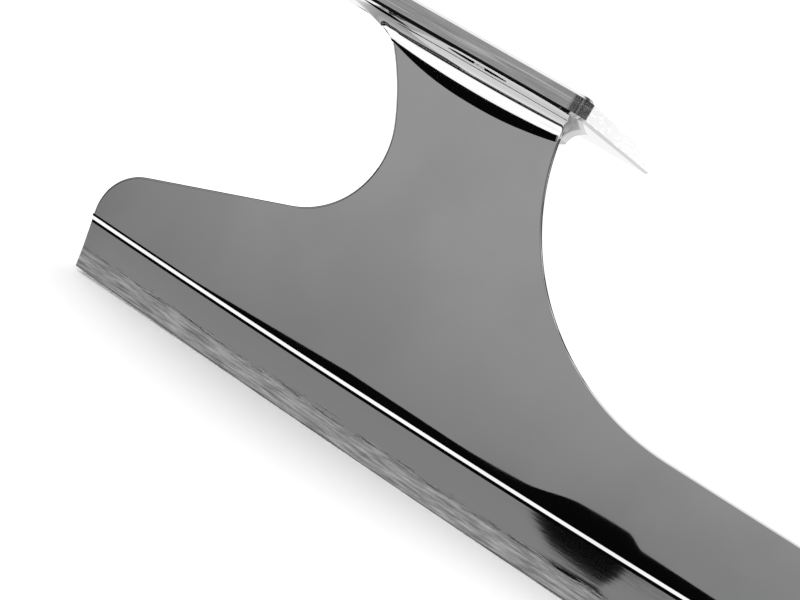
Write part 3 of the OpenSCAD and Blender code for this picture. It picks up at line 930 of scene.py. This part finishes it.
class SKATE_OT_blade(bpy.types.Operator):
    """Build the blade: rockered runner, stanchions, tenons and toe picks"""

    bl_idname = "skate.blade"
    bl_label = "Blade"

    def execute(self, context):
        settings = context.scene.skate_blade
        shape = BladeShape(settings)
        colours = settings.colours
        chrome = polished_chrome("blade chrome", colours, BLADE_CLOUDS)
        finishes = chrome, honed_steel("honed runner", colours)
        piece = blade_mesh(shape)
        round_edges(piece, settings.finish.edge_r)
        picks = prism("picks", shape.pick_outline(), settings.toe.pick_t)
        for made in finishes:
            piece.data.materials.append(made)
            picks.data.materials.append(made)
        joined = piece.modifiers.new("Picks", "BOOLEAN")
        joined.operation = "UNION"
        joined.solver = "EXACT"
        joined.object = picks
        settle(piece)
        bpy.data.objects.remove(picks)
        smooth(piece)
        dress(piece, "blade", "blade_chrome", *finishes)
        return {"FINISHED"}


class SKATE_OT_plates(bpy.types.Operator):
    """Build the heel plate and the sole plate, with chamfered rims and brushed edges"""

    bl_idname = "skate.plates"
    bl_label = "Mounting plates"

    def execute(self, context):
        settings = context.scene.skate_blade
        chrome = polished_chrome("plate chrome", settings.colours, PLATE_CLOUDS)
        rim = brushed_rim("brushed rim", settings.colours)
        for node, name in (("heel_plate", "heel_mounting_plate"), ("sole_plate", "sole_mounting_plate")):
            piece = plate_mesh(node, name)
            for made in (chrome, rim):
                piece.data.materials.append(made)
            round_edges(piece, settings.finish.rim_c, 1, PLATED)
            smooth(piece)
            dress(piece, node, "plate_chrome", chrome, rim)
        return {"FINISHED"}


class SKATE_OT_brazing(bpy.types.Operator):
    """Build the brazed fillets between the stanchions and their plates"""

    bl_idname = "skate.brazing"
    bl_label = "Brazed fillets"

    def execute(self, context):
        settings = context.scene.skate_blade
        tail, web, finish = settings.tail, settings.web, settings.finish
        chrome = brazed_chrome("brazed chrome", settings.colours)
        bay = BladeShape(settings).rear_edge()[2:]
        arch = Vector((HEEL_FRONT + web.arch_heel_r, web.arch_z + web.arch_heel_r)), web.arch_heel_r
        tops = (
            ("heel_braze", "heel_brazing", HEEL_FRONT - tail.top_l, HEEL_FRONT, HEEL_Z, bay, arch),
            ("ball_braze", "ball_brazing", BALL_REAR, BALL_FRONT, SOLE_Z, None, None),
            ("toe_braze", "toe_brazing", TOE_REAR, TOE_FRONT, SOLE_Z, None, None),
        )
        for node, name, rear, front, underside, bay, arch in tops:
            piece = fillet(name, rear, front, underside, finish, chrome, bay, arch)
            smooth(piece)
            dress(piece, node, "braze_chrome", chrome)
        return {"FINISHED"}


class SKATE_OT_stage(bpy.types.Operator):
    """Set the pale floor, the studio surround and the camera"""

    bl_idname = "skate.stage"
    bl_label = "Stage"

    def execute(self, context):
        settings = context.scene.skate_blade
        make_floor(settings)
        make_surround(context.scene)
        make_camera(context.scene, settings.stage)
        context.scene.view_settings.view_transform = "Standard"
        return {"FINISHED"}


# Stage


def make_floor(settings):
    """A round pale floor under the edge, which the metal doesn't mirror."""
    bm = bmesh.new()
    bmesh.ops.create_circle(bm, cap_ends=True, radius=settings.stage.floor_r, segments=96)
    bmesh.ops.translate(bm, verts=bm.verts, vec=(0, 0, blade_low.z))
    floor = as_object(bm, "floor")
    floor.data.materials.append(matt_floor("pale floor", settings.colours.floor))
    floor.visible_glossy = False


# Angles of the surround run in degrees round the blade's length: 0 is level in front, 90 straight down and
# 180 level behind. Places to the side run from -1 beyond the tail to 1 beyond the toe.

# Brightness at each angle
SURROUND = (
    (-90, 1.5), (-62, 1.4), (-50, 0.6), (-20, 0.42), (-8, 0.40), (-4, 0.44), (-1, 0.49), (0.5, 0.51),
    (3, 0.49), (6, 0.46), (8, 0.42), (9.5, 0.385), (11, 0.35), (46, 0.35), (47, 1.65), (83.5, 1.65),
    (85, 0.01), (93, 0.01), (94.5, 0.8), (125, 0.5), (150, 0.6), (160, 0.8), (172, 0.9), (179, 1.0),
    (180.5, 1.5), (200, 1.5), (207, 0.8), (240, 0.75), (262, 1.5), (270, 1.5),
)
# Brightness that lights the floor and shows beyond it
FLOOR_LIGHT = 1.62
# Dark panel in front: its darkness, its two ends with their softness, and the angles of its foot and top
PANEL_DARK = 0.99
PANEL_ENDS = -0.55, 0.06, 0.05
PANEL_FOOT = 47.0, 46.0
PANEL_TOP = 11.08
PANEL_TOP_SOFT = 0.015
# Upper edge of that panel: where and how fast it falls to the left, its rise to the right, and a hump on it
FALL_FROM = -0.27
FALL = 3.2
RISE_OVER = -0.19, -0.06
RISE = 0.45
HUMP_RISES = -0.135, -0.095
HUMP_FALLS = -0.045, -0.06
HUMP = 0.32
# Dark ends: the angles between which they are dark in front and behind, each with a softness
FRONT_BAND = -25.0, 25.0, 5.0
BACK_BAND = 178.5, 200.0, 0.5
# Angles beyond which they are dark overhead, and angles between which the far right adds nothing
OVERHEAD = -60.0, 214.0, 4.0
BELOW = 0.0, 178.0, 3.0
# Left end: two steps, each with its darkness
LEFT_STEPS = ((-0.43, -0.47), 0.2), ((-0.5, -0.56), 0.7)
# Right end: where it starts, its darkness, and where its far part starts
RIGHT_OVER = 0.28, 0.36
RIGHT_DARK = 0.96
FAR_RIGHT = 0.62, 0.72
# Bright uprights in the right end: their pitch, their edges, the angles of their feet and their brightness
UPRIGHTS = 36.0
UPRIGHT_EDGES = 0.1, 0.5
UPRIGHT_FEET = -1.2, -1.6
UPRIGHT_LIGHT = 0.9


def ramp(tree, degrees, stops):
    """A ramp of greys over an angle that runs from straight up, forwards, down and round to straight up."""
    made = put(tree, "ShaderNodeValToRGB", {"Fac": math_node(tree, "MULTIPLY_ADD", degrees, 1 / 360, 0.25)})
    elements = made.color_ramp.elements
    elements.remove(elements[-1])
    for i, (degree, value) in enumerate(stops):
        spot = (degree + 90) / 360
        element = elements[0] if i == 0 else elements.new(spot)
        element.position = spot
        element.color = (value, value, value, 1.0)
    return put(tree, "ShaderNodeSeparateColor", {0: made.outputs["Color"]}).outputs[0]


def band(tree, value, low, high, soft):
    """A soft band that is all between low and high, and none beyond."""
    return math_node(tree, "MULTIPLY", step_up(tree, value, low - soft, low + soft),
                     step_up(tree, value, high + soft, high - soft))


def front_panel(tree, side, turn):
    """The dark panel in front, below the camera's level: how far it covers a direction."""
    calc = functools.partial(math_node, tree)
    hump = calc("MULTIPLY", step_up(tree, side, *HUMP_RISES), step_up(tree, side, *HUMP_FALLS))
    fall = calc("MULTIPLY", calc("MAXIMUM", calc("SUBTRACT", FALL_FROM, side), 0.0), FALL)
    top = calc("ADD", fall, PANEL_TOP)
    top = calc("SUBTRACT", top, calc("MULTIPLY", step_up(tree, side, *RISE_OVER), RISE))
    top = calc("SUBTRACT", top, calc("MULTIPLY", hump, HUMP))
    under_top = step_up(tree, calc("SUBTRACT", turn, top), -PANEL_TOP_SOFT, PANEL_TOP_SOFT)
    dark = calc("MULTIPLY", under_top, step_up(tree, turn, *PANEL_FOOT))
    dark = calc("MULTIPLY", dark, band(tree, side, *PANEL_ENDS))
    return calc("MULTIPLY", dark, PANEL_DARK)


def dark_ends(tree, side, turn):
    """The ends of the surround, with bright uprights at the right: how far they darken a direction."""
    calc = functools.partial(math_node, tree)
    level = calc("MAXIMUM", band(tree, turn, *FRONT_BAND), band(tree, turn, *BACK_BAND))
    not_below = calc("SUBTRACT", 1.0, band(tree, turn, *BELOW))
    level = calc("MAXIMUM", level, calc("MULTIPLY", step_up(tree, side, *FAR_RIGHT), not_below))
    level = calc("MAXIMUM", level, calc("SUBTRACT", 1.0, band(tree, turn, *OVERHEAD)))
    left = calc("ADD", *(calc("MULTIPLY", step_up(tree, side, *over), dark) for over, dark in LEFT_STEPS))
    uprights = step_up(tree, calc("SINE", calc("MULTIPLY", side, UPRIGHTS)), *UPRIGHT_EDGES)
    uprights = calc("MULTIPLY", uprights, step_up(tree, turn, *UPRIGHT_FEET))
    darkness = calc("SUBTRACT", RIGHT_DARK, calc("MULTIPLY", uprights, UPRIGHT_LIGHT))
    right = calc("MULTIPLY", step_up(tree, side, *RIGHT_OVER), darkness)
    return calc("MULTIPLY", calc("ADD", left, right), level)


def make_surround(scene):
    """A white studio, whose mirror image in the metal is a row of long pale and dark panels."""
    world = scene.world or bpy.data.worlds.new("studio")
    scene.world = world
    world.use_nodes = True
    world.cycles.sampling_method = "NONE"
    tree = world.node_tree
    tree.nodes.clear()
    calc = functools.partial(math_node, tree)
    way = parts_of(tree, put(tree, "ShaderNodeTexCoord").outputs["Generated"])
    side = way["X"]
    from_up = calc("ARCTAN2", calc("MULTIPLY", way["Y"], -1.0), way["Z"])
    turn = calc("SUBTRACT", calc("MODULO", calc("ADD", calc("DEGREES", from_up), 360.0), 360.0), 90.0)
    value = ramp(tree, turn, SURROUND)
    for cover in (front_panel, dark_ends):
        value = calc("MULTIPLY", value, calc("SUBTRACT", 1.0, cover(tree, side, turn)))
    mirrored = put(tree, "ShaderNodeCombineColor", {0: value, 1: value, 2: value}).outputs[0]
    glossy = put(tree, "ShaderNodeLightPath").outputs["Is Glossy Ray"]
    light = put(tree, "ShaderNodeBackground", {"Color": blend(tree, glossy, [FLOOR_LIGHT] * 3, mirrored)})
    out = put(tree, "ShaderNodeOutputWorld")
    tree.links.new(light.outputs[0], out.inputs["Surface"])


def make_camera(scene, stage):
    """The camera, close to the heel and rolled so that the blade runs down across the picture."""
    data = bpy.data.cameras.new("camera")
    data.sensor_width = 36.0
    data.lens = stage.lens
    data.clip_start = 5 * MM
    camera = bpy.data.objects.new("camera", data)
    scene.collection.objects.link(camera)
    camera.location = (BACK + stage.camera_x, -stage.camera_y, stage.camera_z)
    aim = Vector((BACK + stage.aim_x, 0.0, stage.aim_z)) - camera.location
    camera.rotation_mode = "QUATERNION"
    camera.rotation_quaternion = aim.to_track_quat("-Z", "Y") @ Quaternion((0, 0, 1), stage.roll)
    scene.camera = camera


# Panel and registration


class SKATE_PT_panel(bpy.types.Panel):
    """Lists the steps and the sizes of the blade"""

    bl_idname = "SKATE_PT_panel"
    bl_label = "Skate blade"
    bl_space_type = "VIEW_3D"
    bl_region_type = "UI"
    bl_category = "Skate blade"

    def draw(self, context):
        for operator in OPERATORS:
            self.layout.operator(operator.bl_idname)
        settings = context.scene.skate_blade
        for group in ("runner", "tail", "web", "toe", "finish", "colours", "stage"):
            column = self.layout.box().column()
            for name in getattr(settings, group).__annotations__:
                column.prop(getattr(settings, group), name)


OPERATORS = (SKATE_OT_blade, SKATE_OT_plates, SKATE_OT_brazing, SKATE_OT_stage)
CLASSES = (RunnerSizes, TailSizes, WebSizes, ToeSizes, FinishSizes, Finishes, StageSizes, SkateBladeSettings,
           *OPERATORS, SKATE_PT_panel)


def register():
    """Adds the classes and the settings to Blender."""
    for made in CLASSES:
        bpy.utils.register_class(made)
    bpy.types.Scene.skate_blade = bpy.props.PointerProperty(type=SkateBladeSettings)


def unregister():
    """Takes the settings and the classes out again."""
    del bpy.types.Scene.skate_blade
    for made in reversed(CLASSES):
        bpy.utils.unregister_class(made)


def main():
    """Builds the pieces and the stage."""
    register()
    bpy.ops.skate.blade()
    bpy.ops.skate.plates()
    bpy.ops.skate.brazing()
    bpy.ops.skate.stage()


if __name__ == "__main__":
    main()
